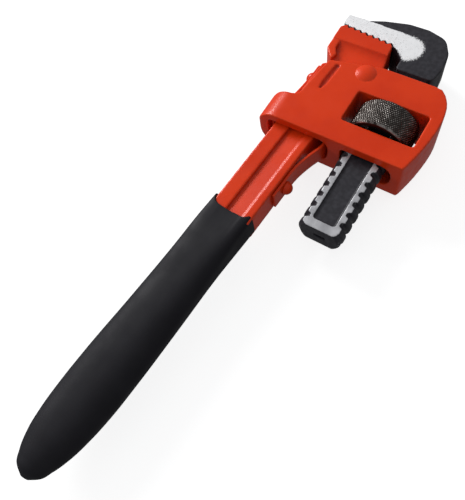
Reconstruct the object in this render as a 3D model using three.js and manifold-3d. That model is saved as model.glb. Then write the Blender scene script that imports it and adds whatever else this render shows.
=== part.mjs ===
// Pipe wrench of the two-piece-frame pattern (Stillson pattern), 350 mm nominal size, jaws closed.
//
// Design axes, in millimetres: X runs along the threaded shank of the hook jaw, towards the jaws;
// Y points from that shank towards the handle bar; Z is the thickness. X = 0 is the bottom face of
// the housing, Y = 0 the shank's axis and Z = 0 the middle plane. The exported group is shifted so
// that the origin is at the middle of the bottom of the whole tool's box.

import * as THREE from "three";
import Module from "manifold-3d";
import { mergeVertices } from "three/addons/utils/BufferGeometryUtils.js";

const wasm = await Module();
wasm.setup();

// ---------------------------------------------------------------- driving dimensions

const FIT_GAP = 0.3; // air left between pieces that touch
const FAR = 200; // reach of a cutting tool that goes right through

const THICK = 25; // housing, over both cheeks
const HOUSING_TOP = 52; // X of the housing's top face
const LOBE = { top: 17.2, back: 61.3 }; // top and back of the ring behind the bar
const WINDOW = { x0: 13.5, x1: 33.3, y0: -19.4, y1: 19.0 };
const SHANK_SLOT = { y0: -15.4, y1: 12.2, half: 7.3 };
const BAR_SLOT = { front: 19.4, middle: 22.5, top: 14.5, back: 54.4, half: 7.7 };
const BAR_SLOT_MOUTH = 11.5; // depth of the widened mouth of the bar slot
const BAR_SLOT_STEP = 34.5; // X where the bar slot widens for the neck

const PIVOT = { x: 44.9, y: 21 };
const PIN_RADIUS = 3.7;
const PIN_HEAD = { radius: 5.8, height: 2 };

const BAR_WIDTH = 22.4;
const BAR_THICK = 14.8;
const BAR_SLOPE = -0.06; // the bar leans 3.4 degrees away from the shank
const BAR_AXIS_Y = 38.6; // Y of the bar's centre line at X = 0
const WEB = { from: -7, to: 3, shallow: 0.5, deep: 1.9, top: 28 }; // the recess between the two flanges
const HEEL_THICK = 21;

const GRIP_MOUTH = -52;
const GRIP_END = -204;
const TANG = { width: 18, thick: 11, taper: -170, taperY: 51.4, end: -192, tipWidth: 10, tipY: 53.4 };

const SHANK_RADIUS = 11.6; // crest of the round thread
const THREAD_DEPTH = 1.6;
const LEAD = 6.3;
const THREAD_GAP = 0.4; // radial air between the nut's thread and the shank's
const SHANK_HALF = 6.9; // half the distance over the flats
const SHANK_END = -44.3;
const EDGE_REACH = (42 * Math.PI) / 180; // how far round each way a threaded edge of the shank reaches
const THREAD_TOP = 46;
const CHANNEL = { width: 11.4, depth: 1.1, from: -39.2 };
const HOOK_THICK = 18.4;

const NUT = { x0: 15.3, x1: 31.3, radius: 16.8, chamfer: 1.1 };

const TOOTH = { count: 8, depth: 1.8, mesh: 0.45 };
const BITE_LINE = [
  [70.4, 17.4],
  [73.4, 48.2],
];

const SPRING = { thick: 1.4, width: 11 };
const SMALL_RIVET = { head: 3.5, rise: 3.3, shank: 1.5, bite: 5 };
const FRONT_RIVET_X = -28;
const REAR_RIVET_X = 39.5;

// ---------------------------------------------------------------- materials

const paint = new THREE.MeshStandardMaterial({ color: 0xd2421f, roughness: 0.32, metalness: 0 });
const dip = new THREE.MeshStandardMaterial({ color: 0x202024, roughness: 0.6, metalness: 0 });
const forged = new THREE.MeshStandardMaterial({ color: 0x3a393e, roughness: 0.5, metalness: 0.6 });
const steel = new THREE.MeshStandardMaterial({ color: 0x5a514e, roughness: 0.35, metalness: 0.9 });

// ---------------------------------------------------------------- solids

// A closed geometry as a manifold-3d solid.
function solid(geometry) {
  const plain = new THREE.BufferGeometry();
  plain.setAttribute("position", geometry.getAttribute("position"));
  if (geometry.index) plain.setIndex(geometry.index);
  const merged = mergeVertices(plain, 1e-4);
  const mesh = new wasm.Mesh({
    numProp: 3,
    vertProperties: new Float32Array(merged.attributes.position.array),
    triVerts: new Uint32Array(merged.index.array),
  });
  return new wasm.Manifold(mesh);
}

function part(name, body, material) {
  const { vertProperties, triVerts } = body.getMesh();
  const geometry = new THREE.BufferGeometry();
  geometry.setAttribute("position", new THREE.BufferAttribute(vertProperties, 3));
  geometry.setIndex(new THREE.BufferAttribute(triVerts, 1));
  geometry.computeVertexNormals();
  const mesh = new THREE.Mesh(geometry, material);
  mesh.name = name;
  return mesh;
}

function joined(...bodies) {
  return bodies.reduce((sum, body) => sum.add(body));
}

function box(x0, x1, y0, y1, z0, z1) {
  const geometry = new THREE.BoxGeometry(x1 - x0, y1 - y0, z1 - z0);
  geometry.translate((x0 + x1) / 2, (y0 + y1) / 2, (z0 + z1) / 2);
  return solid(geometry);
}

// A closed outline with its corners rounded. Each corner is [x, y, radius].
function outline(corners) {
  const shape = new THREE.Shape();
  const count = corners.length;
  corners.forEach(([x, y, radius = 0], i) => {
    const here = new THREE.Vector2(x, y);
    const before = new THREE.Vector2(...corners[(i + count - 1) % count].slice(0, 2));
    const after = new THREE.Vector2(...corners[(i + 1) % count].slice(0, 2));
    const back = before.sub(here).normalize();
    const on = after.sub(here).normalize();
    const half = Math.acos(THREE.MathUtils.clamp(back.dot(on), -1, 1)) / 2;
    const cut = radius / Math.tan(half);
    const start = here.clone().addScaledVector(back, cut);
    const end = here.clone().addScaledVector(on, cut);
    if (i === 0) shape.moveTo(start.x, start.y);
    else shape.lineTo(start.x, start.y);
    if (radius > 0) shape.quadraticCurveTo(here.x, here.y, end.x, end.y);
  });
  shape.closePath();
  return shape;
}

// An XY outline, given thickness along Z about the middle plane.
function plate(shape, thick, curveSegments = 4) {
  const geometry = new THREE.ExtrudeGeometry(shape, { depth: thick, bevelEnabled: false, curveSegments });
  geometry.translate(0, 0, -thick / 2);
  return solid(geometry);
}

// A YZ outline, run along X from x0 to x1.
function bar(shape, x0, x1, curveSegments = 4) {
  const geometry = new THREE.ExtrudeGeometry(shape, { depth: x1 - x0, bevelEnabled: false, curveSegments });
  geometry.rotateY(Math.PI / 2);
  geometry.rotateX(Math.PI / 2);
  geometry.translate(x0, 0, 0);
  return solid(geometry);
}

// An XZ outline, run along Y from y0 to y1.
function beam(shape, y0, y1) {
  const geometry = new THREE.ExtrudeGeometry(shape, { depth: y1 - y0, bevelEnabled: false, curveSegments: 6 });
  geometry.rotateX(Math.PI / 2);
  geometry.translate(0, y1, 0);
  return solid(geometry);
}

// A [radius, along] profile turned about an axis: "x", "y" or "z".
function turned(profile, axis, segments = 24) {
  const points = profile.map(([radius, along]) => new THREE.Vector2(radius, along));
  const geometry = new THREE.LatheGeometry(points, segments);
  if (axis === "x") geometry.rotateZ(-Math.PI / 2);
  if (axis === "z") geometry.rotateX(Math.PI / 2);
  return solid(geometry);
}

function cylinder(radius, from, to, axis, segments = 24) {
  const profile = [
    [0, from],
    [radius, from],
    [radius, to],
    [0, to],
  ];
  return turned(profile, axis, segments);
}

// ---------------------------------------------------------------- teeth of the two jaws

// A row of teeth along the bite line. lift moves the crests off the line, depth points to the roots.
function toothRow(lift, depth, phase) {
  const [start, end] = BITE_LINE.map(([x, y]) => new THREE.Vector2(x, y));
  const run = end.clone().sub(start);
  const normal = new THREE.Vector2(run.y, -run.x).normalize();
  const points = [];
  for (let half = 0; half <= TOOTH.count * 2; half++) {
    const along = half / (TOOTH.count * 2);
    const crest = (half + phase) % 2 === 0;
    const off = crest ? lift : lift + depth;
    const point = start.clone().addScaledVector(run, along).addScaledVector(normal, off);
    points.push([point.x, point.y]);
  }
  return points;
}

// ---------------------------------------------------------------- housing

function housing() {
  const bulge = new THREE.SplineCurve(
    [
      [1.2, -20.9],
      [14, -23.8],
      [30, -25.4],
      [42, -23.9],
      [48.4, -20.6],
    ].map(([x, y]) => new THREE.Vector2(x, y)),
  );
  const side = bulge.getPoints(12).map((p) => [p.x, p.y]);
  const corners = [
    [0, -20.2, 0],
    ...side,
    [51.4, -17.6, 0],
    [HOUSING_TOP, -13.5, 0],
    [HOUSING_TOP, 14, 3],
    [45.4, 42.6, 2.2],
    [17.6, 46.4, 3.5],
    [LOBE.top, LOBE.back, 4],
    [0, LOBE.back, 4],
  ];
  const half = THICK / 2;
  const round = new THREE.Shape();
  round.moveTo(-40, -half);
  round.lineTo(LOBE.back - half, -half);
  round.absarc(LOBE.back - half, 0, half, -Math.PI / 2, Math.PI / 2, false);
  round.lineTo(-40, half);
  round.closePath();
  const blank = plate(outline(corners), THICK).intersect(bar(round, -1, HOUSING_TOP + 1, 12));

  const window = plate(
    outline([
      [WINDOW.x0, WINDOW.y0, 1],
      [WINDOW.x1, WINDOW.y0, 1],
      [WINDOW.x1, WINDOW.y1, 1],
      [WINDOW.x0, WINDOW.y1, 1],
    ]),
    FAR,
    2,
  );
  const slot = SHANK_SLOT;
  const shankSlot = bar(slotSection(slot.y0, slot.y1, slot.half, 6.6, 2), -1, HOUSING_TOP + 1);
  const wide = BAR_SLOT;
  const mouth = bar(slotSection(wide.front, wide.back, wide.half, 5.2, 3), -1, BAR_SLOT_MOUTH);
  const middle = bar(slotSection(wide.middle, wide.back, wide.half, 1.5, 3), BAR_SLOT_MOUTH - 1, LOBE.top);
  const open = box(LOBE.top - 0.5, HOUSING_TOP + 1, wide.middle, FAR, -wide.half, wide.half);
  const neck = box(BAR_SLOT_STEP, HOUSING_TOP + 1, wide.top, FAR, -wide.half, wide.half);
  const pinHole = cylinder(PIN_RADIUS + FIT_GAP, -FAR, FAR, "z").translate([PIVOT.x, PIVOT.y, 0]);
  return [window, shankSlot, mouth, middle, open, neck, pinHole, cheekGroove(1), cheekGroove(-1)].reduce(
    (body, cut) => body.subtract(cut),
    blank,
  );
}

// The YZ section of a slot, with one radius on its front end and another on its back end.
function slotSection(y0, y1, half, frontRadius, backRadius) {
  return outline([
    [y0, -half, frontRadius],
    [y1, -half, backRadius],
    [y1, half, backRadius],
    [y0, half, frontRadius],
  ]);
}

// The tapered groove along the back of each cheek's outer face.
function cheekGroove(side) {
  const depth = 1.3;
  const groove = outline([
    [24.8, 38.2, 0.4],
    [30, 36.2, 0],
    [44.2, 35.2, 0.8],
    [44.4, 37.6, 0.8],
    [31, 38.8, 0],
  ]);
  return plate(groove, depth * 2).translate([0, 0, (side * THICK) / 2]);
}

// ---------------------------------------------------------------- handle bar with the heel jaw

function barY(x, off) {
  return BAR_AXIS_Y + BAR_SLOPE * x + off;
}

function handleBar() {
  const half = BAR_WIDTH / 2;
  const shoulder = GRIP_MOUTH + FIT_GAP;
  const straight = outline([
    [shoulder, barY(shoulder, -half)],
    [35.5, barY(35.5, -half), 1.5],
    [40.5, 15.6, 2],
    [56, 15.4, 2],
    [58, 30, 1],
    [53, 43.5, 1],
    [48.6, 43.4, 1],
    [46, barY(46, half), 1],
    [shoulder, barY(shoulder, half)],
  ]);
  const body = joined(plate(straight, BAR_THICK).subtract(webRecess(1)).subtract(webRecess(-1)), tang(0), heelJaw());
  const pinHole = cylinder(PIN_RADIUS + FIT_GAP, -FAR, FAR, "z").translate([PIVOT.x, PIVOT.y, 0]);
  const hole = (x, side) => {
    const radius = SMALL_RIVET.shank + FIT_GAP;
    const depth = SMALL_RIVET.bite + FIT_GAP;
    return cylinder(radius, -depth, depth, "y", 12).translate([x, barY(x, side * half), 0]);
  };
  return body.subtract(pinHole).subtract(hole(FRONT_RIVET_X, -1)).subtract(hole(REAR_RIVET_X, 1));
}

// The recess in one side of the bar, with a floor that rises from the back flange to the front one.
function webRecess(side) {
  const face = BAR_THICK / 2;
  const section = outline([
    [WEB.from, side * (face - WEB.shallow)],
    [WEB.to, side * (face - WEB.deep)],
    [WEB.to, side * (face + 2)],
    [WEB.from, side * (face + 2)],
  ]);
  const lean = THREE.MathUtils.radToDeg(Math.atan(BAR_SLOPE));
  return bar(section, GRIP_MOUTH - 8, WEB.top).rotate([0, 0, lean]).translate([0, BAR_AXIS_Y, 0]);
}

// The tapered end of the bar inside the grip, or with grow, the socket for it.
function tang(grow) {
  const half = TANG.width / 2 + grow;
  const tip = TANG.tipWidth / 2 + grow;
  const mouth = GRIP_MOUTH + 4;
  const shape = outline([
    [TANG.end - grow, TANG.tipY - tip, 3],
    [TANG.taper, TANG.taperY - half],
    [mouth, barY(mouth, -half)],
    [mouth, barY(mouth, half)],
    [TANG.taper, TANG.taperY + half],
    [TANG.end - grow, TANG.tipY + tip, 3],
  ]);
  return plate(shape, TANG.thick + 2 * grow);
}

// The toothed head of the bar: a thick block on the neck, with a rim down its back.
function heelJaw() {
  const half = HEEL_THICK / 2;
  const neckHalf = BAR_THICK / 2;
  const crests = toothRow(TOOTH.mesh / 2, -TOOTH.depth, 1);
  const block = outline([
    [54.2, 15.6, 1.5],
    [62.5, 16.9, 0],
    ...crests,
    [71, 49.3, 1],
    [55.4, 49.2, 2],
    [51.4, 46, 1],
    [48.4, 43.2, 0.8],
    [53, 40, 2],
  ]);
  const flare = new THREE.Shape();
  flare.moveTo(40, -neckHalf);
  flare.lineTo(55, -neckHalf);
  flare.quadraticCurveTo(60.6, -neckHalf, 62.4, -half);
  flare.lineTo(76, -half);
  flare.lineTo(76, half);
  flare.lineTo(62.4, half);
  flare.quadraticCurveTo(60.6, neckHalf, 55, neckHalf);
  flare.lineTo(40, neckHalf);
  flare.closePath();
  const rim = outline([
    [62, 44.6, 0],
    [62, 49.2, 0],
    [55.4, 49.2, 2],
    [51.4, 46, 1],
    [48.4, 43.2, 0.8],
    [52.6, 42, 1],
    [57, 44.6, 2],
  ]);
  return joined(plate(block, HEEL_THICK).intersect(beam(flare, 0, 60)), plate(rim, HEEL_THICK - 1));
}

// ---------------------------------------------------------------- grip

// Stations down the grip: [x, centre y, width, thickness, roundness], from 0.4, boxy, to 1, an ellipse.
const GRIP_STATIONS = [
  [GRIP_MOUTH, 42.4, 24.4, 17, 0.45],
  [-64, 43.6, 24.8, 17.4, 0.55],
  [-85, 45.3, 25.8, 18, 0.7],
  [-117, 47.6, 28, 19, 0.8],
  [-147, 50, 29.6, 19.6, 0.85],
  [-164, 51.3, 29.4, 19.6, 0.9],
  [-177, 52.4, 27.4, 19, 0.9],
  [-188, 53.3, 23.6, 17.6, 0.95],
  [-196, 53.8, 18.2, 14.6, 1],
  [-201.5, 53.9, 11.6, 10, 1],
  [GRIP_END, 53.8, 4.6, 4.4, 1],
];

// A closed skin over rings of equal point counts, capped flat at both ends.
function skin(rings) {
  const count = rings[0].length;
  const positions = rings.flat(2);
  const index = [];
  for (let r = 0; r + 1 < rings.length; r++) {
    for (let i = 0; i < count; i++) {
      const a = r * count + i;
      const b = r * count + ((i + 1) % count);
      index.push(a, a + count, b, b, a + count, b + count);
    }
  }
  const last = (rings.length - 1) * count;
  for (let i = 1; i + 1 < count; i++) {
    index.push(0, i, i + 1);
    index.push(last, last + i + 1, last + i);
  }
  const geometry = new THREE.BufferGeometry();
  geometry.setAttribute("position", new THREE.Float32BufferAttribute(positions, 3));
  geometry.setIndex(index);
  return geometry;
}

// A rounded-rectangle-like ring (superellipse) at one station of the grip.
function gripRing([x, y, width, thick, power]) {
  const sides = 20;
  const ring = [];
  for (let i = 0; i < sides; i++) {
    const angle = (i / sides) * Math.PI * 2;
    const across = Math.sign(Math.cos(angle)) * Math.abs(Math.cos(angle)) ** power;
    const up = Math.sign(Math.sin(angle)) * Math.abs(Math.sin(angle)) ** power;
    ring.push([x, y + (across * width) / 2, (up * thick) / 2]);
  }
  return ring;
}

function gripSleeve() {
  return solid(skin(GRIP_STATIONS.map(gripRing))).subtract(tang(FIT_GAP));
}

// ---------------------------------------------------------------- round thread

// Radius of the thread's four corners over one lead: crest, crest, root, root.
const THREAD_CORNERS = [
  { phase: 0, drop: 0 },
  { phase: 0.5, drop: 0 },
  { phase: 0.63, drop: 1 },
  { phase: 0.87, drop: 1 },
];

// A right-handed threaded rod about the X axis that reaches past x0 and x1, made on a helical grid.
// grow moves the whole surface outwards. angles are the places round the axis, rising from 0.
function threadedRod(x0, x1, grow, angles) {
  const firstTurn = Math.floor(x0 / LEAD) - 2;
  const lastTurn = Math.ceil(x1 / LEAD) + 1;
  const perTurn = THREAD_CORNERS.length;
  const columns = angles.length;
  const rows = (lastTurn - firstTurn) * perTurn;
  const positions = [];
  for (let row = 0; row <= rows; row++) {
    const corner = THREAD_CORNERS[row % perTurn];
    const turn = firstTurn + Math.floor(row / perTurn) + corner.phase;
    const radius = SHANK_RADIUS + grow - corner.drop * THREAD_DEPTH;
    for (const angle of angles) {
      const x = LEAD * (turn + angle / (Math.PI * 2));
      positions.push(x, radius * Math.cos(angle), radius * Math.sin(angle));
    }
  }
  const index = [];
  const vertex = (row, column) => {
    if (column < columns) return row * columns + column;
    return (row + perTurn) * columns;
  };
  for (let row = 0; row + perTurn < rows; row++) {
    for (let column = 0; column < columns; column++) {
      const a = vertex(row, column);
      const b = vertex(row, column + 1);
      const c = vertex(row + 1, column);
      const d = vertex(row + 1, column + 1);
      index.push(a, b, c, c, b, d);
    }
  }
  closeHelicalEnd(positions, index, endLoop(0, vertex, columns, perTurn), true);
  closeHelicalEnd(positions, index, endLoop(rows - perTurn, vertex, columns, perTurn), false);
  const geometry = new THREE.BufferGeometry();
  geometry.setAttribute("position", new THREE.Float32BufferAttribute(positions, 3));
  geometry.setIndex(index);
  return solid(geometry).intersect(box(x0, x1, -FAR, FAR, -FAR, FAR));
}

// The open rim at one end of the helical grid: once round the row, then back along the seam.
function endLoop(row, vertex, columns, perTurn) {
  const loop = [];
  for (let column = 0; column < columns; column++) loop.push(vertex(row, column));
  for (let step = perTurn; step > 0; step--) loop.push(vertex(row + step, 0));
  return loop;
}

// Closes that rim with a fan to a point on the axis.
function closeHelicalEnd(positions, index, loop, atStart) {
  const centre = positions.length / 3;
  const x = positions[loop[0] * 3] + LEAD / 2;
  positions.push(x, 0, 0);
  loop.forEach((from, i) => {
    const to = loop[(i + 1) % loop.length];
    if (atStart) index.push(centre, to, from);
    else index.push(centre, from, to);
  });
}

// Columns round the axis: fine over two threaded edges, none over the flats. The first edge starts at 0.
function shankAngles() {
  const steps = 8;
  const angles = [];
  for (const start of [0, Math.PI]) {
    for (let i = 0; i <= steps; i++) angles.push(start + (2 * EDGE_REACH * i) / steps);
  }
  return angles;
}

function evenAngles(count) {
  return Array.from({ length: count }, (_, i) => (i / count) * Math.PI * 2);
}

// ---------------------------------------------------------------- hook jaw

function hookJaw() {
  const turnBack = -THREE.MathUtils.radToDeg(EDGE_REACH);
  const shift = (LEAD * -EDGE_REACH) / (Math.PI * 2);
  const thread = threadedRod(SHANK_END + 2, THREAD_TOP, 0, shankAngles())
    .rotate([turnBack, 0, 0])
    .translate([shift, 0, 0])
    .intersect(box(SHANK_END + 1, THREAD_TOP - 1, -FAR, FAR, -FAR, FAR));
  const endTip = SHANK_RADIUS - 0.5;
  const tip = turned(
    [
      [0, SHANK_END],
      [endTip - 1.2, SHANK_END],
      [endTip, SHANK_END + 1.2],
      [endTip, SHANK_END + 3.4],
      [0, SHANK_END + 3.4],
    ],
    "x",
    32,
  );
  const root = SHANK_RADIUS - THREAD_DEPTH;
  const plain = cylinder(root, THREAD_TOP - 2, 62, "x", 32);
  const flats = box(SHANK_END - 1, 64, -FAR, FAR, -SHANK_HALF, SHANK_HALF);
  const shank = joined(thread, tip, plain).intersect(flats);
  const channel = (side) => {
    const half = CHANNEL.width / 2;
    const pocket = outline([
      [CHANNEL.from, -half, 1.2],
      [THREAD_TOP, -half, 0],
      [THREAD_TOP, half, 0],
      [CHANNEL.from, half, 1.2],
    ]);
    return plate(pocket, CHANNEL.depth * 2).translate([0, 0, side * SHANK_HALF]);
  };
  const slit = box(SHANK_END - 1, SHANK_END + 4, -3.4, 2.6, -1.3, 1.3);
  return joined(shank.subtract(channel(1)).subtract(channel(-1)).subtract(slit), hook());
}

// The hook: a forged back that runs up from the shank and over, with a toothed jaw under it.
function hook() {
  const roots = toothRow(-TOOTH.mesh / 2, TOOTH.depth, 0);
  const back = outline([
    [57, -10, 3],
    [66, -11.6, 4],
    [77, -10.6, 8],
    [86, -5.4, 8],
    [88.9, 5.5, 8],
    [88.6, 17, 8],
    [85.4, 29.5, 6],
    [82.2, 37.4, 3],
    [81.8, 49.2, 0.8],
    [75.6, 49.1, 0.4],
    ...roots.reverse(),
    [68.6, 14.6, 1],
    [64.4, 10.2, 1.5],
    [57, 10, 2],
  ]);
  return plate(back, HOOK_THICK);
}

// ---------------------------------------------------------------- nut, pin, springs and rivets

function nut() {
  const { x0, x1, radius, chamfer } = NUT;
  const blank = turned(
    [
      [0, x0],
      [radius - chamfer, x0],
      [radius, x0 + chamfer],
      [radius, x1 - chamfer],
      [radius - chamfer, x1],
      [0, x1],
    ],
    "x",
    40,
  );
  return blank.subtract(threadedRod(x0 - 1, x1 + 1, THREAD_GAP, evenAngles(24)));
}

function pivotPin() {
  const { radius, height } = PIN_HEAD;
  const seat = THICK / 2 + FIT_GAP;
  const dome = (side) => [0.97, 0.82, 0.5, 0].map((r) => [radius * r, side * (seat + height * Math.sqrt(1 - r * r))]);
  const profile = [
    ...dome(-1).reverse(),
    [radius, -seat],
    [PIN_RADIUS, -seat],
    [PIN_RADIUS, seat],
    [radius, seat],
    ...dome(1),
  ];
  return turned(profile, "z").translate([PIVOT.x, PIVOT.y, 0]);
}

// A leaf spring: a strip of even thickness along a smooth line in the XY plane.
function leafSpring(points, rivetX, rivetY) {
  const line = new THREE.SplineCurve(points.map(([x, y]) => new THREE.Vector2(x, y)));
  const samples = line.getPoints(14);
  const left = [];
  const right = [];
  samples.forEach((point, i) => {
    const before = samples[Math.max(i - 1, 0)];
    const after = samples[Math.min(i + 1, samples.length - 1)];
    const along = after.clone().sub(before).normalize();
    const off = new THREE.Vector2(-along.y, along.x).multiplyScalar(SPRING.thick / 2);
    left.push(point.clone().add(off));
    right.push(point.clone().sub(off));
  });
  const strip = plate(new THREE.Shape([...right, ...left.reverse()]), SPRING.width);
  const hole = cylinder(SMALL_RIVET.shank + FIT_GAP, -4, 4, "y", 12).translate([rivetX, rivetY, 0]);
  return strip.subtract(hole);
}

// A round-head rivet through a leaf spring into the bar's edge. side is +1 on the back edge.
function springRivet(x, side) {
  const { head, rise, shank, bite } = SMALL_RIVET;
  const seat = SPRING.thick + 2 * FIT_GAP + 0.1;
  const dome = [0.95, 0.7, 0.38, 0].map((r) => [head * r, seat + rise * Math.sqrt(1 - r * r)]);
  const profile = [[0, -bite], [shank, -bite], [shank, seat], [head, seat], ...dome];
  const rivet = turned(profile, "y", 12);
  const facing = side > 0 ? rivet : rivet.rotate([180, 0, 0]);
  return facing.translate([x, barY(x, (side * BAR_WIDTH) / 2), 0]);
}

// ---------------------------------------------------------------- assembly

const edgeOff = BAR_WIDTH / 2 + FIT_GAP + SPRING.thick / 2; // a spring's middle line on the bar's edge
const frontLine = [
  [-37.7, barY(-37.7, -edgeOff)],
  [-30, barY(-30, -edgeOff)],
  [-19, barY(-19, -edgeOff)],
  [-9, 24.9],
  [-1, 21.9],
  [6, 21.6],
];
const rearLine = [
  [45.4, barY(45.4, edgeOff)],
  [36, barY(36, edgeOff)],
  [26, barY(26, edgeOff) + 0.5],
  [13, 52],
  [3, 53.1],
];
const frontRivetY = barY(FRONT_RIVET_X, -edgeOff);
const rearRivetY = barY(REAR_RIVET_X, edgeOff);

const assembly = new THREE.Group();
assembly.add(
  part("handle_bar", handleBar(), paint),
  part("grip_sleeve", gripSleeve(), dip),
  part("frame_housing", housing(), paint),
  part("pivot_pin", pivotPin(), paint),
  part("hook_jaw", hookJaw(), forged),
  part("adjusting_nut", nut(), steel),
  part("front_spring", leafSpring(frontLine, FRONT_RIVET_X, frontRivetY), paint),
  part("rear_spring", leafSpring(rearLine, REAR_RIVET_X, rearRivetY), paint),
  part("front_spring_rivet", springRivet(FRONT_RIVET_X, -1), paint),
  part("rear_spring_rivet", springRivet(REAR_RIVET_X, 1), paint),
);

const bounds = new THREE.Box3().setFromObject(assembly);
const middle = bounds.getCenter(new THREE.Vector3());
assembly.position.set(-middle.x, -middle.y, -bounds.min.z);

const wrench = new THREE.Group();
wrench.add(assembly);

export default wrench;
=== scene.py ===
"""Looks of the 350 mm pipe wrench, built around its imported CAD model.

Lengths in the code are design millimetres, as in the CAD: X from the housing's bottom face along
the threaded shank, Y from the shank's axis towards the handle bar, Z from the middle plane. at()
turns them into the row frame's metres.
"""

import math

import bmesh
import bpy
import numpy as np
from mathutils import Matrix, Vector


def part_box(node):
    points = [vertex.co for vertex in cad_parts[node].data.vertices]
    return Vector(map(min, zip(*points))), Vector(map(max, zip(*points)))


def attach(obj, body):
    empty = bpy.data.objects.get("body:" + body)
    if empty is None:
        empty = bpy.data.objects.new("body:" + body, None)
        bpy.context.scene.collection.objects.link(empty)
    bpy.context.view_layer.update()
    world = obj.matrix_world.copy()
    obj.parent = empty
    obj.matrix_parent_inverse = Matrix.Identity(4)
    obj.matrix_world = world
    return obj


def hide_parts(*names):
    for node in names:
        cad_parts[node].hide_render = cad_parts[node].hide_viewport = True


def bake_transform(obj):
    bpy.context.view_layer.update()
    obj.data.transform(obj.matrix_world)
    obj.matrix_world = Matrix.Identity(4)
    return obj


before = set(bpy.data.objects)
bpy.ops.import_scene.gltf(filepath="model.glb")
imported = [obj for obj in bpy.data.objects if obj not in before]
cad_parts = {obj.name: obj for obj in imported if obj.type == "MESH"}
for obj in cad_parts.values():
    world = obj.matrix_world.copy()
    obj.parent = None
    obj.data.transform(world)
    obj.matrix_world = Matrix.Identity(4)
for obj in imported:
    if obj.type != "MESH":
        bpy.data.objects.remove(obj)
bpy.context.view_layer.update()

MM = 0.001
HOUSING_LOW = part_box("frame_housing")[0]
NUT_LOW, NUT_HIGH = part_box("adjusting_nut")
ORIGIN = Vector(
    (
        HOUSING_LOW.x,
        (NUT_LOW.y + NUT_HIGH.y) / 2,
        (NUT_LOW.z + NUT_HIGH.z) / 2,
    )
)

# Dimensions shared with the CAD, in design millimetres.
BAR_SLOPE = -0.06
BAR_AXIS_Y = 38.6
BAR_WIDTH = 22.4
BAR_THICK = 14.8
WEB = {"from": -7.0, "to": 3.0, "shallow": 0.5, "deep": 1.9}
SHANK_RADIUS = 11.6
SHANK_HALF = 6.9
THREAD_DEPTH = 1.6
THREAD_GAP = 0.4
LEAD = 6.3
HOOK_HALF = 9.2
CHEEK_HALF = 12.5

# How each forging or casting is remeshed and relaxed: voxel size in millimetres, smoothing passes.
HOUSING_SKIN = {"voxel": 0.45, "passes": 14}
BAR_SKIN = {"voxel": 0.42, "passes": 2}
HOOK_SKIN = {"voxel": 0.36, "passes": 3}
LEAF_SKIN = {"voxel": 0.25, "passes": 4}
RELAX = 0.5  # how far towards its neighbours' middle a vertex moves in each pass
WELD = 0.001  # vertices closer than this, in millimetres, are joined


def at(x, y, z):
    """A design point, in millimetres, as a point of the row frame."""
    return ORIGIN + Vector((x, y, z)) * MM


def design(co):
    """Row-frame points as design millimetres."""
    return (np.asarray(co) - np.array(ORIGIN)) / MM


def bar_y(x, off=0.0):
    """Y of the bar's axis at x, or of a line off millimetres to its side."""
    return BAR_AXIS_Y + BAR_SLOPE * x + off


# ---------------------------------------------------------------- mesh helpers


def points_of(mesh):
    """The mesh's vertices, one row each."""
    co = np.empty(len(mesh.vertices) * 3)
    mesh.vertices.foreach_get("co", co)
    return co.reshape(-1, 3)


def normals_of(mesh):
    """The mesh's vertex normals, one row each."""
    co = np.empty(len(mesh.vertices) * 3)
    mesh.vertex_normals.foreach_get("vector", co)
    return co.reshape(-1, 3)


def linked(name, data):
    """A new object in the scene, with the mesh, light or camera given."""
    piece = bpy.data.objects.new(name, data)
    bpy.context.scene.collection.objects.link(piece)
    return piece


def new_piece(name, vertices, faces):
    """A smooth-shaded piece from row-frame points, with its faces turned outwards."""
    mesh = bpy.data.meshes.new(name)
    mesh.from_pydata([tuple(v) for v in vertices], [], faces)
    shell = bmesh.new()
    shell.from_mesh(mesh)
    bmesh.ops.recalc_face_normals(shell, faces=shell.faces)
    shell.to_mesh(mesh)
    shell.free()
    mesh.shade_smooth()
    return linked(name, mesh)


def apply_modifiers(piece):
    """Turns the piece's modified shape into its mesh."""
    depsgraph = bpy.context.evaluated_depsgraph_get()
    mesh = bpy.data.meshes.new_from_object(piece.evaluated_get(depsgraph))
    piece.modifiers.clear()
    piece.data = mesh


def smooth_where(piece, chosen, passes):
    """Relaxes the chosen vertices, so that the edges among them round over."""
    group = piece.vertex_groups.new(name="soft")
    group.add([int(i) for i in np.nonzero(chosen)[0]], 1.0, "REPLACE")
    smooth = piece.modifiers.new("Smooth", "SMOOTH")
    smooth.factor = RELAX
    smooth.iterations = passes
    smooth.vertex_group = group.name
    apply_modifiers(piece)
    piece.vertex_groups.clear()


def cast(name, node, voxel, passes, more=None):
    """A copy of a CAD node, and more if given, remeshed finely and relaxed like a casting."""
    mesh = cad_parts[node].data.copy()
    shell = bmesh.new()
    shell.from_mesh(mesh)
    if more is not None:
        shell.from_mesh(more.data)
        bpy.data.objects.remove(more)
    bmesh.ops.remove_doubles(shell, verts=shell.verts, dist=WELD * MM)
    shell.to_mesh(mesh)
    shell.free()
    piece = linked(name, mesh)
    remesh = piece.modifiers.new("Remesh", "REMESH")
    remesh.mode = "VOXEL"
    remesh.voxel_size = voxel * MM
    apply_modifiers(piece)
    smooth_where(piece, np.ones(len(piece.data.vertices), bool), passes)
    piece.data.shade_smooth()
    return piece


def paint_attribute(piece, name, values):
    """Stores one number per vertex for a material to read."""
    layer = piece.data.attributes.new(name, "FLOAT", "POINT")
    layer.data.foreach_set("value", np.asarray(values, dtype=np.float32))


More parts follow.
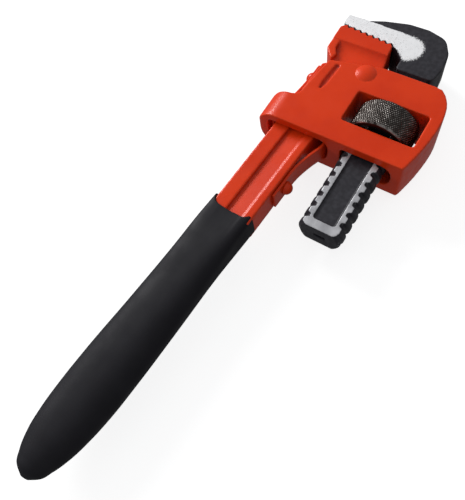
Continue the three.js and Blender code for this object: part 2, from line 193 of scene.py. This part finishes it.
def blurred(piece, values, passes):
    """The values, averaged with their neighbours' along the mesh's edges."""
    edges = np.empty(len(piece.data.edges) * 2, dtype=np.int64)
    piece.data.edges.foreach_get("vertices", edges)
    a, b = edges.reshape(-1, 2).T
    values = np.asarray(values, float)
    count = np.bincount(a, minlength=len(values)) + np.bincount(b, minlength=len(values))
    for _ in range(passes):
        total = np.bincount(a, values[b], len(values)) + np.bincount(b, values[a], len(values))
        values = (values + total / count) / 2
    return values


def inside(points, corners):
    """Which XY points lie inside the polygon."""
    x = points[:, 0]
    y = points[:, 1]
    hit = np.zeros(len(points), bool)
    for (ax, ay), (bx, by) in zip(corners, corners[1:] + corners[:1]):
        if ay == by:
            continue
        crosses = (ay > y) != (by > y)
        reach = ax + (y - ay) * (bx - ax) / (by - ay)
        hit ^= crosses & (x < reach)
    return hit


def turned(name, profile, centre, axis, segments):
    """A piece turned about the z or y axis. profile is (radius, along) in mm, from pole to pole."""
    middle = [(r, h) for r, h in profile if r > 0]
    vertices = []
    for r, h in middle:
        for i in range(segments):
            angle = 2 * math.pi * i / segments
            a = r * math.cos(angle)
            b = r * math.sin(angle)
            offset = Vector((a, b, h)) if axis == "z" else Vector((a, h, b))
            vertices.append(centre + offset * MM)
    faces = []
    for ring in range(len(middle) - 1):
        for i in range(segments):
            j = (i + 1) % segments
            a = ring * segments
            faces.append((a + i, a + j, a + segments + j, a + segments + i))
    for end, ring in ((profile[0], 0), (profile[-1], len(middle) - 1)):
        pole = len(vertices)
        offset = Vector((0, 0, end[1])) if axis == "z" else Vector((0, end[1], 0))
        vertices.append(centre + offset * MM)
        for i in range(segments):
            j = (i + 1) % segments
            faces.append((pole, ring * segments + i, ring * segments + j))
    return new_piece(name, vertices, faces)


def grid_faces(rows, columns, closed_rows):
    """Quads of a grid whose columns wrap round, and whose rows do too if closed_rows."""
    faces = []
    last = rows if closed_rows else rows - 1
    for r in range(last):
        a = r * columns
        b = ((r + 1) % rows) * columns
        for i in range(columns):
            j = (i + 1) % columns
            faces.append((a + i, a + j, b + j, b + i))
    return faces


# ---------------------------------------------------------------- material helpers


# A Mix node's colour sockets among its inputs and outputs.
MIX_FACTOR = 0
MIX_A = 6
MIX_B = 7
MIX_RESULT = 2


class Shader:
    """A node material with one Principled shader, and short calls for what feeds it."""

    def __init__(self, name):
        self.material = bpy.data.materials.new(name)
        self.material.use_nodes = True
        self.tree = self.material.node_tree
        self.surface = self.tree.nodes["Principled BSDF"]
        self.place = self.tree.nodes.new("ShaderNodeTexCoord").outputs["Object"]

    def link(self, source, target):
        self.tree.links.new(source, target)

    def noise(self, size, detail=3, roughness=0.5, stretch=(1, 1, 1)):
        """Noise from 0 to 1 with features about size millimetres across."""
        mapping = self.tree.nodes.new("ShaderNodeMapping")
        mapping.inputs["Scale"].default_value = stretch
        self.link(self.place, mapping.inputs["Vector"])
        node = self.tree.nodes.new("ShaderNodeTexNoise")
        node.inputs["Scale"].default_value = 1 / (size * MM)
        node.inputs["Detail"].default_value = detail
        node.inputs["Roughness"].default_value = roughness
        self.link(mapping.outputs["Vector"], node.inputs["Vector"])
        return node.outputs["Fac"]

    def patches(self, size, low=0.0, high=1.0, detail=3, band=(0.3, 0.7)):
        """Soft patches about size millimetres across, with values from low to high."""
        return self.spread(self.noise(size, detail), *band, low, high)

    def attribute(self, name):
        """The value that paint_attribute stored under the name."""
        node = self.tree.nodes.new("ShaderNodeAttribute")
        node.attribute_name = name
        return node.outputs["Fac"]

    def recess(self, reach):
        """1 in the open, falling towards 0 in hollows up to reach millimetres deep."""
        node = self.tree.nodes.new("ShaderNodeAmbientOcclusion")
        node.samples = 8
        node.only_local = True
        node.inputs["Distance"].default_value = reach * MM
        return node.outputs["AO"]

    def pointiness(self):
        """Above 0.5 on ridges, below it in creases."""
        return self.tree.nodes.new("ShaderNodeNewGeometry").outputs["Pointiness"]

    def spread(self, source, low, high, to_low=0.0, to_high=1.0):
        """Maps low..high smoothly to to_low..to_high, clamped."""
        node = self.tree.nodes.new("ShaderNodeMapRange")
        node.interpolation_type = "SMOOTHSTEP"
        self.link(source, node.inputs["Value"])
        node.inputs["From Min"].default_value = low
        node.inputs["From Max"].default_value = high
        node.inputs["To Min"].default_value = to_low
        node.inputs["To Max"].default_value = to_high
        return node.outputs["Result"]

    def math(self, operation, a, b):
        """a and b, each a number or an output, put together by the operation."""
        node = self.tree.nodes.new("ShaderNodeMath")
        node.operation = operation
        for socket, value in zip(node.inputs, (a, b)):
            if isinstance(value, (int, float)):
                socket.default_value = value
            else:
                self.link(value, socket)
        return node.outputs["Value"]

    def mix(self, factor, a, b):
        """A colour between a and b, each a colour or a colour output."""
        node = self.tree.nodes.new("ShaderNodeMix")
        node.data_type = "RGBA"
        self.link(factor, node.inputs[MIX_FACTOR])
        for socket, value in ((node.inputs[MIX_A], a), (node.inputs[MIX_B], b)):
            if isinstance(value, tuple):
                socket.default_value = (*value, 1)
            else:
                self.link(value, socket)
        return node.outputs[MIX_RESULT]

    def bump(self, height, depth, under=None):
        """Raises the surface by depth millimetres where height is 1."""
        node = self.tree.nodes.new("ShaderNodeBump")
        node.inputs["Strength"].default_value = 1
        node.inputs["Distance"].default_value = depth * MM
        self.link(height, node.inputs["Height"])
        if under is not None:
            self.link(under, node.inputs["Normal"])
        return node.outputs["Normal"]

    def feed(self, **sockets):
        """Sets the shader's sockets: colour="Base Color" and so on, a value or an output each."""
        names = {
            "colour": "Base Color",
            "metallic": "Metallic",
            "roughness": "Roughness",
            "normal": "Normal",
            "coat": "Coat Weight",
            "coat_roughness": "Coat Roughness",
            "specular": "Specular IOR Level",
        }
        for key, value in sockets.items():
            socket = self.surface.inputs[names[key]]
            if isinstance(value, tuple):
                socket.default_value = (*value, 1)
            elif isinstance(value, (int, float)):
                socket.default_value = value
            else:
                self.link(value, socket)
        return self.material


# ---------------------------------------------------------------- materials


def orange_enamel():
    """Thick glossy enamel over a casting: orange peel, with painted shade (deeper red) in hollows and
    creases and a painted highlight (lighter orange) on the edges.
    """
    shader = Shader("orange_enamel")
    body_low = (0.65, 0.034, 0.0030)
    body_high = (0.71, 0.042, 0.0045)
    # painted shade: the red that hollows darken towards
    painted_recess_shade_red = (0.24, 0.006, 0.002)
    # painted shade: the red that creases darken towards
    painted_corner_shade_red = (0.26, 0.007, 0.002)
    # painted highlight: the lighter orange of the edges
    painted_edge_highlight_orange = (0.78, 0.075, 0.020)
    body = shader.mix(shader.patches(22, band=(0.35, 0.65)), body_low, body_high)
    # painted shade: ambient occlusion darkens hollows up to 7 mm deep
    painted_recess_shade = shader.spread(shader.recess(7), 0.86, 0.42)
    # painted shade: low pointiness darkens creases
    painted_corner_shade = shader.spread(shader.pointiness(), 0.497, 0.44)
    # painted highlight: high pointiness lightens the edges
    edge = shader.spread(shader.pointiness(), 0.508, 0.56, 0, 0.5)
    # the body colour with painted shade in its hollows
    shaded = shader.mix(painted_recess_shade, body, painted_recess_shade_red)
    # deep: the colour with painted shade in its hollows and creases
    deep = shader.mix(painted_corner_shade, shaded, painted_corner_shade_red)
    peel = shader.bump(shader.noise(3.2, 2), 0.035)
    grain = shader.bump(shader.noise(0.7, 4), 0.010, peel)
    return shader.feed(
        colour=shader.mix(edge, deep, painted_edge_highlight_orange),
        roughness=shader.patches(6, 0.30, 0.42),
        normal=grain,
        coat=0.12,
        coat_roughness=0.16,
        specular=0.16,
    )


def black_vinyl():
    """Satin dipped vinyl: nearly smooth, with faint runs along the handle and a few dull patches."""
    shader = Shader("black_vinyl")
    cloud_low = (0.0060, 0.0055, 0.0085)
    cloud_high = (0.0082, 0.0077, 0.0110)
    runs = shader.bump(shader.noise(5, 2, stretch=(0.25, 1, 1)), 0.05)
    grain = shader.bump(shader.noise(0.5, 4), 0.012, runs)
    return shader.feed(
        colour=shader.mix(shader.patches(16, band=(0.35, 0.65)), cloud_low, cloud_high),
        roughness=shader.patches(9, 0.58, 0.68),
        normal=grain,
        specular=0.24,
    )


def forged_and_ground():
    """Black oxide on a forging's skin, and steel where "ground" is 1, as bright as "polish" says."""
    shader = Shader("forged_and_ground")
    oxide_low = (0.015, 0.014, 0.019)
    oxide_high = (0.028, 0.027, 0.034)
    worn_grey = (0.16, 0.16, 0.17)
    milled_low = (0.35, 0.35, 0.37)
    milled_high = (0.55, 0.55, 0.57)
    polished = (0.98, 0.98, 0.99)
    pit_grey = (0.42, 0.41, 0.41)
    ragged = shader.math("ADD", shader.attribute("ground"), shader.patches(0.9, -0.16, 0.16))
    ground = shader.spread(ragged, 0.22, 0.78)
    oxide = shader.mix(shader.patches(2.2, detail=5, band=(0.35, 0.7)), oxide_low, oxide_high)
    edge = shader.spread(shader.pointiness(), 0.53, 0.62, 0, 0.5)
    worn = shader.mix(edge, oxide, worn_grey)
    milled = shader.mix(shader.patches(7), milled_low, milled_high)
    clean = shader.mix(shader.attribute("polish"), milled, polished)
    pits = shader.spread(shader.noise(0.8, 4, 0.75), 0.57, 0.67)
    bright = shader.mix(pits, clean, pit_grey)
    skin = shader.bump(shader.noise(1.6, 5), 0.03)
    scratches = shader.bump(shader.noise(0.8, 2, stretch=(0.12, 1, 1)), 0.012, skin)
    dull = shader.patches(3, 0.42, 0.56)
    return shader.feed(
        colour=shader.mix(ground, worn, bright),
        metallic=shader.math("MULTIPLY", ground, 0.3),
        roughness=shader.math("SUBTRACT", dull, shader.math("MULTIPLY", ground, 0.08)),
        normal=scratches,
        specular=0.35,
    )


def knurled_steel():
    """Dark steel with bright points where "crest" is near 1: partly worn metal, partly a painted
    sparkle highlight.
    """
    shader = Shader("knurled_steel")
    valley = (0.032, 0.026, 0.023)
    point = (0.33, 0.31, 0.29)
    # bright points: partly wear, partly painted sparkle highlight
    worn = shader.math("ADD", shader.attribute("crest"), shader.patches(2.5, -0.35, 0.15))
    return shader.feed(
        colour=shader.mix(shader.spread(worn, 0.45, 1.0), valley, point),
        metallic=0.85,
        roughness=shader.patches(1.4, 0.24, 0.40),
        normal=shader.bump(shader.noise(0.3, 3), 0.01),
    )


# ---------------------------------------------------------------- bar

STUB_ENDS = (-58, -50)
TOOTH_BAND = 68.2  # X above which the heel's teeth are, which are cut, not cast
BAR_SOFT_PASSES = 9


def bar_stub():
    """The bar's I-section carried on into the grip, behind the wavy mouth."""
    face = BAR_THICK / 2
    edge = BAR_WIDTH / 2
    upper = [
        (edge, face),
        (WEB["to"], face),
        (WEB["to"], face - WEB["deep"]),
        (WEB["from"], face - WEB["shallow"]),
        (WEB["from"], face),
        (-edge, face),
    ]
    section = upper + [(off, -z) for off, z in upper[::-1]]
    count = len(section)
    vertices = [at(x, bar_y(x, off), z) for x in STUB_ENDS for off, z in section]
    faces = [(i, (i + 1) % count, count + (i + 1) % count, count + i) for i in range(count)]
    faces += [tuple(range(count)), tuple(range(count, 2 * count))]
    return new_piece("bar_stub", vertices, faces)


def bar_piece():
    """The bar with its heel jaw: soft like a forging, but for the teeth."""
    piece = cast("bar_forging", "handle_bar", **BAR_SKIN, more=bar_stub())
    x = design(points_of(piece.data))[:, 0]
    smooth_where(piece, x < TOOTH_BAND, BAR_SOFT_PASSES)
    piece.data.shade_smooth()
    return piece


# ---------------------------------------------------------------- grip

# Stations down the grip: x, centre y, width, thickness, roundness (1 is an ellipse).
GRIP_STATIONS = (
    (-49, 42.2, 24.4, 17.0, 0.28),
    (-64, 43.6, 24.8, 17.4, 0.34),
    (-85, 45.3, 25.8, 18.0, 0.60),
    (-117, 47.6, 28.0, 19.0, 0.80),
    (-147, 50.0, 29.4, 19.6, 0.85),
    (-164, 51.3, 29.2, 19.6, 0.90),
    (-177, 52.4, 27.2, 19.0, 0.90),
    (-188, 53.3, 23.6, 17.6, 0.95),
    (-196, 53.8, 18.2, 14.6, 1.00),
    (-201.5, 53.9, 11.6, 10.0, 1.00),
    (-203.9, 53.8, 4.4, 4.2, 1.00),
)
GRIP_END = GRIP_STATIONS[-1][0]

# The wavy mouth: place across the bar from -1, the shank's side, to 1, and the x of the edge there.
GRIP_MOUTH = ((-1, -53.6), (-0.58, -53.8), (-0.34, -55.4), (0.19, -54.7), (0.7, -51.6), (1, -49.1))

# The rolled lip: thickness of the skin there, length of its round, and how deep the inside goes.
LIP = {"thick": 0.6, "round": 0.6, "inner_end": -66.0}

# How the skin sinks into the web: share of the web's depth, the slopes' widths, and where it fades.
SINK = {"share": 0.8, "near_slope": 1.5, "far_slope": 2.0, "overlap": 1, "fade_from": -54, "fade": 20}

GRIP_MESH = {"columns": 128, "inner_rows": 4, "lip_rows": 5, "body_rows": 110}
GRIP_EASE = 1.35  # above 1, the rows crowd together towards the round end


def smooth_through(knots, values, wanted):
    """Values of a smooth curve through the knots, at the wanted places."""
    knots = np.asarray(knots, float)
    values = np.asarray(values, float)
    slope = np.gradient(values, knots)
    k = np.clip(np.searchsorted(knots, wanted) - 1, 0, len(knots) - 2)
    span = knots[k + 1] - knots[k]
    t = np.clip((wanted - knots[k]) / span, 0, 1)
    rise = values[k + 1] * (3 * t**2 - 2 * t**3) + values[k] * (1 - 3 * t**2 + 2 * t**3)
    return rise + span * (slope[k] * (t**3 - 2 * t**2 + t) + slope[k + 1] * (t**3 - t**2))


def web_sink(off, x):
    """How far the grip's skin sinks towards the web, off millimetres from the bar's axis."""
    across_web = np.clip((off - WEB["from"]) / (WEB["to"] - WEB["from"]), 0, 1)
    depth = WEB["shallow"] + (WEB["deep"] - WEB["shallow"]) * across_web
    near = np.clip((off - WEB["from"]) / SINK["near_slope"], 0, 1)
    far = np.clip((WEB["to"] + SINK["overlap"] - off) / SINK["far_slope"], 0, 1)
    in_web = near * far
    in_web = in_web**2 * (3 - 2 * in_web)
    fade = np.clip(1 + (x - SINK["fade_from"]) / SINK["fade"], 0, 1) ** 2
    return depth * SINK["share"] * in_web * fade


def grip_ring(x, angle, inset):
    """Points round the grip at x, one x for each angle, moved inwards by inset millimetres."""
    stations = np.array(GRIP_STATIONS)[::-1]
    centre, width, thick, power = (
        smooth_through(stations[:, 0], stations[:, column], x) for column in (1, 2, 3, 4)
    )
    across = np.sign(np.cos(angle)) * np.abs(np.cos(angle)) ** power * (width / 2 - inset)
    up = np.sign(np.sin(angle)) * np.abs(np.sin(angle)) ** power * (thick / 2 - inset)
    sink = web_sink(centre + across - bar_y(x), x) * np.sign(up)
    return np.stack([x, centre + across, up - sink], axis=1)


def grip_piece():
    """The dipped grip: a smooth skin with a wavy, rolled mouth that sinks into the bar's web."""
    columns = GRIP_MESH["columns"]
    angle = np.arange(columns) * 2 * math.pi / columns
    mouth_place, mouth_x = np.array(GRIP_MOUTH).T
    edge_x = smooth_through(mouth_place, mouth_x, np.cos(angle))
    lip_x = edge_x - LIP["round"]

    rings = []
    for share in np.linspace(1, 0, GRIP_MESH["inner_rows"]):
        x = LIP["inner_end"] + (lip_x - LIP["inner_end"]) * (1 - share)
        rings.append(grip_ring(x, angle, LIP["thick"]))
    for turn in np.linspace(0, math.pi / 2, GRIP_MESH["lip_rows"]):
        x = lip_x + LIP["round"] * math.cos(turn)
        rings.append(grip_ring(x, angle, LIP["thick"] * (1 - math.sin(turn))))
    for share in np.linspace(0, 1, GRIP_MESH["body_rows"] + 1)[1:]:
        eased = 1 - (1 - share) ** GRIP_EASE
        rings.append(grip_ring(lip_x + (GRIP_END - lip_x) * eased, angle, 0))

    vertices = [at(*point) for row in rings for point in row]
    faces = grid_faces(len(rings), columns, False)
    for x, row in ((LIP["inner_end"], 0), (GRIP_END, len(rings) - 1)):
        pole = len(vertices)
        centre = np.mean(rings[row], axis=0)
        vertices.append(at(x, centre[1], centre[2]))
        for i in range(columns):
            faces.append((pole, row * columns + i, row * columns + (i + 1) % columns))
    return new_piece("grip", vertices, faces)


# ---------------------------------------------------------------- nut

# The knurl: diamonds around the nut, their pitch along it, their depth, mesh columns for each, and
# how much of each point is cut off flat.
KNURL = {"around": 84, "along": 1.8, "depth": 0.34, "samples": 8, "flat": 1.25, "under": 0.02}
NUT_CHAMFER = 1.0
NUT_ROWS = 64
BORE_INSET = 0.5
BORE_MOUTH_RADIUS = 12.6

# The thread's section over one turn: how deep it is cut, from 0 on the crest to 1 at the root.
THREAD_PHASE = (0, 0.5, 0.63, 0.87, 1)
THREAD_CUT = (0, 0, 1, 1, 0)


def triangle(phase):
    """A triangle wave: 0 at whole numbers, 1 half way between them."""
    return 1 - np.abs(2 * (phase % 1) - 1)


def thread_drop(x, angle):
    """How deep the shank's right-handed thread is cut there: 0 on the crest, 1 at the root."""
    phase = (x / LEAD - angle / (2 * math.pi)) % 1
    return np.interp(phase, THREAD_PHASE, THREAD_CUT)


def knurl_height(x, angle):
    """How high the diamond knurl stands, from 0 in the cuts to 1 on its points."""
    around = KNURL["around"] * angle / (2 * math.pi)
    along = x / KNURL["along"]
    height = np.minimum(triangle(around + along), triangle(around - along))
    return np.minimum(1, height * KNURL["flat"])


def nut_edge(radius):
    """The rounded end of the nut: (how far in from the end, radius, how bright, partly from wear and
    partly a painted highlight) from bore to knurl.
    """
    shoulder = radius - NUT_CHAMFER
    return (
        (0, BORE_MOUTH_RADIUS, 0.2),
        (0, shoulder - 0.5, 0.3),
        (0.12, shoulder - 0.12, 0.9),
        (NUT_CHAMFER - 0.2, radius - 0.35, 0.75),
    )


def nut_piece():
    """The adjusting nut, with every point of its diamond knurl and its threaded bore."""
    x0 = float(NUT_LOW.x - ORIGIN.x) / MM
    x1 = float(NUT_HIGH.x - ORIGIN.x) / MM
    radius = float(NUT_HIGH.y - NUT_LOW.y) / 2 / MM
    columns = KNURL["around"] * KNURL["samples"]
    angle = np.arange(columns) * 2 * math.pi / columns
    bore_radius = SHANK_RADIUS + THREAD_GAP
    crest_radius = radius - KNURL["under"]

    rows = []
    for x in np.linspace(x0 + BORE_INSET, x1 - BORE_INSET, NUT_ROWS):
        rows.append((x, bore_radius - THREAD_DEPTH * thread_drop(x, angle), 0.1))
    for inwards, r, worn in nut_edge(radius):
        rows.append((x1 - inwards, r, worn))
    for x in np.linspace(x0 + NUT_CHAMFER, x1 - NUT_CHAMFER, NUT_ROWS)[::-1]:
        height = knurl_height(x - x0, angle)
        rows.append((x, crest_radius - KNURL["depth"] * (1 - height), height))
    for inwards, r, worn in nut_edge(radius)[::-1]:
        rows.append((x0 + inwards, r, worn))

    vertices = []
    crests = []
    for x, r, worn in rows:
        # crest: how bright each point is, partly from wear and partly a painted highlight
        crests.extend(np.broadcast_to(worn, columns))
        ring = np.stack([np.full(columns, x), r * np.cos(angle), r * np.sin(angle)], axis=1)
        vertices.extend(ring * MM + np.array(ORIGIN))
    piece = new_piece("nut", vertices, grid_faces(len(rows), columns, True))
    paint_attribute(piece, "crest", crests)
    return piece


# ---------------------------------------------------------------- hook jaw

# The ground patch on each side of the hook, up to the roots of its teeth.
GROUND_PATCH = [
    (75.0, 49.6),
    (82.4, 49.6),
    (81.6, 30.0),
    (81.4, 18.6),
    (80.6, 9.0),
    (79.0, 4.6),
    (75.4, 2.2),
    (70.5, 2.0),
    (66.2, 4.0),
    (64.0, 7.4),
    (63.6, 10.2),
    (68.0, 14.6),
    (69.6, 17.4),
]
HOOK_FROM = 54  # X above which the forged hook is, and below which the machined shank is
FLATS_TO = 56  # X up to which the shank's flats are ground
POLISH_FROM = 58  # X above which ground steel is polished, not only milled
HOOK_SOFT_PASSES = 14
FACING_UP = 0.9  # least Z part of the normal of a flat face
FLAT_SLACK = 0.35
PATCH_SLACK = 0.4
CRISP_PASSES = 2  # how often the patch's edge is blurred along its straight side
FADED_PASSES = 50  # and at its round end
ROUND_END = {"from": 22, "over": 12}  # Y below which the round end starts, and the change's length


def ground_share(piece, p, n):
    """How much each point of the hook jaw is ground: 1 on its flats and patches, 0 on its skin."""
    facing_up = np.abs(n[:, 2]) > FACING_UP
    height = np.abs(p[:, 2])
    flat = facing_up & (np.abs(height - SHANK_HALF) < FLAT_SLACK) & (p[:, 0] < FLATS_TO)
    patch = facing_up & (height > HOOK_HALF - PATCH_SLACK) & inside(p, GROUND_PATCH)
    crisp = blurred(piece, patch, CRISP_PASSES)
    faded = blurred(piece, patch, FADED_PASSES)
    round_end = np.clip((ROUND_END["from"] - p[:, 1]) / ROUND_END["over"], 0, 1)
    return np.maximum(flat, crisp + (faded - crisp) * round_end)


def hook_piece():
    """The hook jaw and its threaded shank, soft where it is forged and crisp where it is ground."""
    piece = cast("hook_jaw_steel", "hook_jaw", **HOOK_SKIN)
    p = design(points_of(piece.data))
    forged = (p[:, 0] > HOOK_FROM) & ~inside(p, GROUND_PATCH)
    smooth_where(piece, forged, HOOK_SOFT_PASSES)
    piece.data.shade_smooth()
    p = design(points_of(piece.data))
    paint_attribute(piece, "ground", ground_share(piece, p, normals_of(piece.data)))
    paint_attribute(piece, "polish", p[:, 0] > POLISH_FROM)
    return piece


# ---------------------------------------------------------------- pin and rivets

# How high a head stands, how far its rim sinks into the cheek, and the radius of what is under it.
PIN_HEAD = {"rise": 1.6, "sunk": 0.15, "power": 2.1, "shank": 3.7, "shank_sunk": 0.3, "rings": 14}
RIVET_HEAD = {"rise": 3.75, "shank": 1.5, "rings": 12}
PIN_SEGMENTS = 72
RIVET_SEGMENTS = 48


def pivot_piece():
    """The pivot pin: its low domed heads sit on the cheeks."""
    low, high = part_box("pivot_pin")
    radius = (high.x - low.x) / 2 / MM
    rim = CHEEK_HALF - PIN_HEAD["sunk"]
    shank_end = CHEEK_HALF - PIN_HEAD["shank_sunk"]
    dome = []
    for share in np.linspace(0, 1, PIN_HEAD["rings"]):
        dome.append((radius * share, rim + PIN_HEAD["rise"] * (1 - share ** PIN_HEAD["power"])))
    shank = [(PIN_HEAD["shank"], -shank_end), (PIN_HEAD["shank"], shank_end)]
    profile = [(r, -h) for r, h in dome] + shank + dome[::-1]
    return turned("pivot_pin_domed", profile, (low + high) / 2, "z", PIN_SEGMENTS)


def rivet_piece(name, node, side):
    """A round-headed rivet through a leaf spring. side is 1 on the bar's back edge, -1 in front."""
    low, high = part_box(node)
    radius = (high.x - low.x) / 2 / MM
    length = (high.y - low.y) / MM
    top = high.y if side > 0 else low.y
    centre = Vector(((low.x + high.x) / 2, top, (low.z + high.z) / 2))
    rise = RIVET_HEAD["rise"]
    dome = []
    for turn in np.linspace(0, 1, RIVET_HEAD["rings"]) * math.pi / 2:
        dome.append((radius * math.sin(turn), -rise + rise * math.cos(turn)))
    profile = dome + [(RIVET_HEAD["shank"], -rise), (RIVET_HEAD["shank"], -length), (0, -length)]
    return turned(name, [(r, side * h) for r, h in profile], centre, "y", RIVET_SEGMENTS)


# ---------------------------------------------------------------- pieces

ENAMEL = orange_enamel()
VINYL = black_vinyl()
FORGED = forged_and_ground()
KNURLED = knurled_steel()


def dress(piece, node, material, body=None):
    """Gives a piece its material, hides its CAD node and, if a body is given, attaches it to that
    body.
    """
    piece.data.materials.clear()
    piece.data.materials.append(material)
    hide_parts(node)
    if body:
        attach(piece, body)
    return piece


def painted(piece, node, body=None):
    """A piece in the orange enamel."""
    return dress(piece, node, ENAMEL, body)


painted(cast("housing_casting", "frame_housing", **HOUSING_SKIN), "frame_housing", "housing")
painted(bar_piece(), "handle_bar", "handle")
dress(grip_piece(), "grip_sleeve", VINYL, "handle")
painted(pivot_piece(), "pivot_pin", "housing")
dress(hook_piece(), "hook_jaw", FORGED, "hook_jaw")
dress(nut_piece(), "adjusting_nut", KNURLED, "adjusting_nut")
painted(rivet_piece("front_rivet", "front_spring_rivet", -1), "front_spring_rivet", "handle")
painted(rivet_piece("rear_rivet", "rear_spring_rivet", 1), "rear_spring_rivet", "handle")

front_leaf = painted(cast("front_leaf", "front_spring", **LEAF_SKIN), "front_spring")
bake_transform(front_leaf)
rear_leaf = painted(cast("rear_leaf", "rear_spring", **LEAF_SKIN), "rear_spring")
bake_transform(rear_leaf)


# ---------------------------------------------------------------- stage, light and camera

FLOOR_HALF = 30  # metres
FLOOR_GREY = (0.35, 0.35, 0.35)
FLOOR_GLOW = 0.82
SKY_COLOUR = (0.97, 0.98, 1.0)
SKY_HEIGHTS = (-0.1, 0.8)  # Z of the direction where the sky is dimmest and where it is brightest
SKY_STRENGTHS = (0.22, 0.50)

# Lights: place in metres, width of the disk in metres, and watts.
LIGHTS = {
    "key": ((0.50, 1.16, 0.66), 0.66, 17.5),
    "glint": ((-0.20, 0.42, 0.22), 0.12, 0.3),
}

# The camera's place and what it looks at, in design millimetres, and its upward direction.
CAMERA_PLACE = (-144.2, -52.3, 232.9)
CAMERA_TARGET = (-70.3, 32.6, 0)
CAMERA_UP = (0.797, 0.441, 0.413)
CAMERA_LENS = 38.33
CAMERA_SENSOR = 36


def floor_piece():
    """The pale floor. It glows a little, and only the camera sees it."""
    corners = [(x * FLOOR_HALF, y * FLOOR_HALF, 0) for x, y in ((-1, -1), (1, -1), (1, 1), (-1, 1))]
    floor = new_piece("floor", corners, [(0, 1, 2, 3)])
    shader = Shader("pale_floor")
    floor.data.materials.append(shader.feed(colour=FLOOR_GREY, roughness=0.9, specular=0.1))
    shader.surface.inputs["Emission Color"].default_value = (1, 1, 1, 1)
    shader.surface.inputs["Emission Strength"].default_value = FLOOR_GLOW
    floor.visible_diffuse = False
    floor.visible_glossy = False


def aimed(thing, place, target, up):
    """Puts a light or camera at a place, with its view towards the target."""
    forward = (target - place).normalized()
    right = forward.cross(up).normalized()
    upward = right.cross(forward)
    turn = Matrix((right, upward, -forward)).transposed().to_4x4()
    thing.matrix_world = Matrix.Translation(place) @ turn


def soft_light(name, place, size, watts):
    """A round soft light aimed at the wrench's head."""
    light = bpy.data.lights.new(name, "AREA")
    light.shape = "DISK"
    light.size = size
    light.energy = watts
    head = at(40, 10, 0)
    aimed(linked(name, light), Vector(place), head, Vector((0, 0, 1)))


def sky():
    """A plain sky, dimmer towards the horizon and below it."""
    world = bpy.data.worlds.new("studio")
    world.use_nodes = True
    tree = world.node_tree
    background = tree.nodes["Background"]
    direction = tree.nodes.new("ShaderNodeTexCoord").outputs["Generated"]
    split = tree.nodes.new("ShaderNodeSeparateXYZ")
    height = tree.nodes.new("ShaderNodeMapRange")
    tree.links.new(direction, split.inputs["Vector"])
    tree.links.new(split.outputs["Z"], height.inputs["Value"])
    height.inputs["From Min"].default_value = SKY_HEIGHTS[0]
    height.inputs["From Max"].default_value = SKY_HEIGHTS[1]
    height.inputs["To Min"].default_value = SKY_STRENGTHS[0]
    height.inputs["To Max"].default_value = SKY_STRENGTHS[1]
    tree.links.new(height.outputs["Result"], background.inputs["Strength"])
    background.inputs["Color"].default_value = (*SKY_COLOUR, 1)
    bpy.context.scene.world = world


def camera():
    """The photograph's viewing angle."""
    lens = bpy.data.cameras.new("camera")
    lens.lens = CAMERA_LENS
    lens.sensor_width = CAMERA_SENSOR
    holder = linked("camera", lens)
    aimed(holder, at(*CAMERA_PLACE), at(*CAMERA_TARGET), Vector(CAMERA_UP))
    bpy.context.scene.camera = holder


floor_piece()
sky()
for light_name, (light_place, light_size, light_watts) in LIGHTS.items():
    soft_light(light_name, light_place, light_size, light_watts)
camera()
bpy.context.scene.view_settings.view_transform = "Standard"
